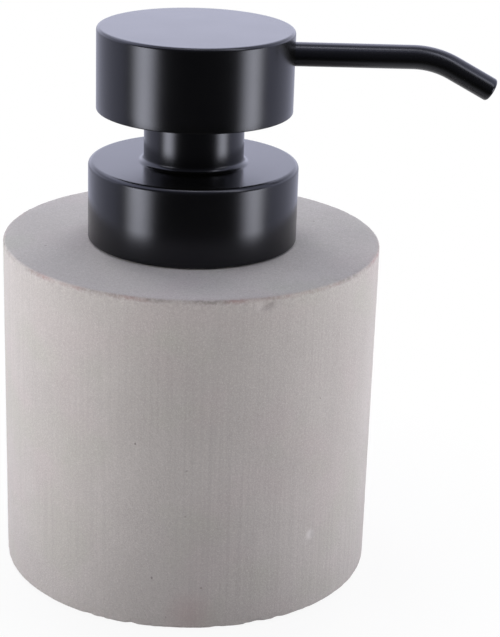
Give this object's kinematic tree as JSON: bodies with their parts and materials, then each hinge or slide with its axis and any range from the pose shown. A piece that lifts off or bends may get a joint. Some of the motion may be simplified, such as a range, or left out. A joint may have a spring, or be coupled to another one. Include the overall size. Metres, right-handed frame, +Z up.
{
  "type": "soap pump dispenser",
  "caption": "Round cast concrete soap bottle with a black metal push pump: wide collar, short neck, flat round press head and a thin bent spout tube.",
  "frame": {"origin": "on the bottle's axis, at the underside of the base pad", "axes": "+Z up along the bottle's axis, +X the way the spout points, +Y completes the right-handed frame"},
  "size_m": [0.1027, 0.08, 0.1177],
  "materials": {
    "concrete": "matte",
    "black_metal": "satin",
    "black_plastic": "satin",
    "natural_plastic": "satin",
    "tube_plastic": "satin",
    "steel": "satin",
    "seal_rubber": "matte",
    "pad_rubber": "matte"
  },
  "bodies": {
    "bottle": {"concrete_body": "concrete", "inner_bottle": "natural_plastic", "neck_insert": "natural_plastic", "base_pad": "pad_rubber"},
    "seal_ring": {"gasket": "seal_rubber"},
    "pump": {"pump_housing": "natural_plastic", "stem_guide": "black_plastic", "ball_cage": "natural_plastic", "dip_tube": "tube_plastic", "return_spring": "steel"},
    "closure": {"collar_shell": "black_metal", "closure_cap": "black_plastic"},
    "plunger": {"stem": "black_plastic", "piston_seal": "tube_plastic", "piston_retainer": "natural_plastic"},
    "head": {"head_shell": "black_metal", "head_core": "black_plastic", "spout_tube": "black_metal", "spout_o_ring": "seal_rubber"},
    "inlet_valve": {"inlet_ball": "steel"},
    "outlet_valve": {"outlet_ball": "steel"}
  },
  "joints": [
    {"name": "lift_out", "type": "slide", "parent": "bottle", "child": "seal_ring", "axis": [0, 0, 1], "range_m": [0, 0.088]},
    {"name": "unscrew_rise", "type": "slide", "parent": "seal_ring", "child": "pump", "axis": [0, 0, 1], "range_m": [0, 0.00634]},
    {"name": "closure_turn", "type": "hinge", "parent": "pump", "child": "closure", "pos_m": [0, 0, 0.08], "axis": [0, 0, 1], "range_deg": [0, 540]},
    {"name": "pump_stroke", "type": "slide", "parent": "pump", "child": "plunger", "axis": [0, 0, -1], "range_m": [0, 0.008], "stiffness_N_per_m": 700, "springref_m": -0.008, "deforming": ["return_spring"]},
    {"name": "head_swivel", "type": "hinge", "parent": "plunger", "child": "head", "pos_m": [0, 0, 0.11], "axis": [0, 0, 1], "continuous": true},
    {"name": "inlet_ball_lift", "type": "slide", "parent": "pump", "child": "inlet_valve", "axis": [0, 0, 1], "range_m": [0, 0.0014]},
    {"name": "outlet_ball_lift", "type": "slide", "parent": "plunger", "child": "outlet_valve", "axis": [0, 0, 1], "range_m": [0, 0.001]}
  ],
  "couplings": [
    {"joint": "closure_turn", "follows": "unscrew_rise", "rad_per_m": 1484.3}
  ]
}
